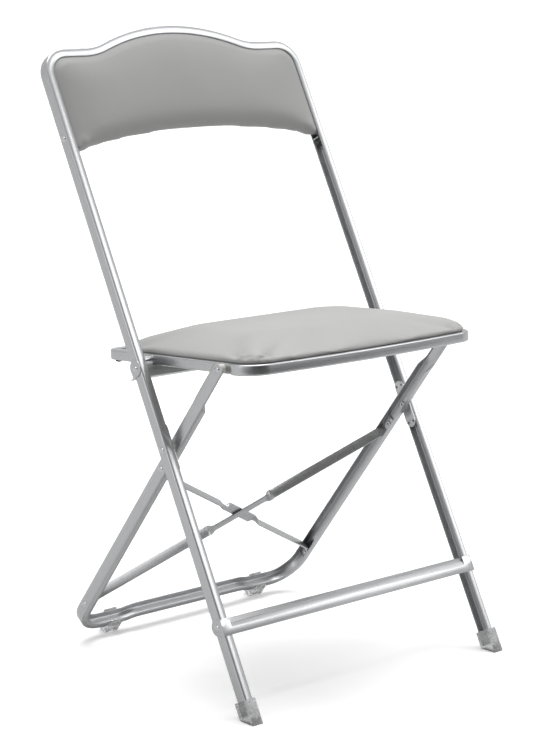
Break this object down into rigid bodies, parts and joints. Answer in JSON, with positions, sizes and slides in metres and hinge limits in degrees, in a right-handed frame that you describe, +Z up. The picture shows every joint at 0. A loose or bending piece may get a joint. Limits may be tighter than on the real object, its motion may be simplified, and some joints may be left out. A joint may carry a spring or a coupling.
{
  "type": "folding chair",
  "caption": "Steel folding chair with an arched crown, a padded seat and back, crossed rear braces, a footrest bar and clear feet.",
  "frame": {"origin": "on the floor, at the centre of the open chair's footprint box", "axes": "+Z up, -Y the way the chair faces, +X across it; the chair is symmetric about X = 0 but for the two crossed braces"},
  "size_m": [0.4574, 0.4712, 0.851],
  "materials": {
    "frame_steel": "satin silver coat",
    "rivet_steel": "bright zinc plate",
    "vinyl": "grey vinyl-coated cloth over foam",
    "board": "grey-primed plywood and hardboard",
    "clear_plastic": "clear moulded plastic",
    "nylon": "natural nylon",
    "rubber": "moulded rubber"
  },
  "bodies": {
    "front": {"front_frame": "frame_steel", "stretcher": "frame_steel", "stretcher_rivets": "rivet_steel", "rear_crossbar": "frame_steel", "crossbar_rivets": "rivet_steel", "pivot_plate_left": "frame_steel", "pivot_plate_right": "frame_steel", "crossing_rivets": "rivet_steel", "crossing_spacers": "nylon", "front_foot_left": "clear_plastic", "front_foot_right": "clear_plastic", "back_board": "board", "back_pad": "vinyl", "back_brackets": "frame_steel", "back_rivets": "rivet_steel", "back_bumpers": "rubber"},
    "rear_legs": {"rear_frame": "frame_steel", "brace_front": "frame_steel", "brace_rear": "frame_steel", "brace_rivets": "rivet_steel", "floor_glide_left": "clear_plastic", "floor_glide_right": "clear_plastic", "hinge_rivets": "rivet_steel", "hinge_spacers": "nylon"},
    "seat": {"seat_rim": "frame_steel", "seat_board": "board", "seat_pad": "vinyl", "seat_screws": "rivet_steel", "slide_pins": "rivet_steel", "slide_spacers": "rivet_steel", "slide_bushes": "nylon", "tail_bumpers": "rubber"}
  },
  "joints": [
    {"name": "rear_frame_fold", "type": "hinge", "parent": "front", "child": "rear_legs", "pos_m": [0, -0.05112, 0.32247], "axis": [-1, 0, 0], "range_deg": [0, 62]},
    {"name": "seat_fold", "type": "hinge", "parent": "rear_legs", "child": "seat", "pos_m": [0, -0.14286, 0.43988], "axis": [1, 0, 0], "range_deg": [0, 124]}
  ],
  "couplings": [
    {"joint": "seat_fold", "follows": "rear_frame_fold", "ratio": 2}
  ]
}
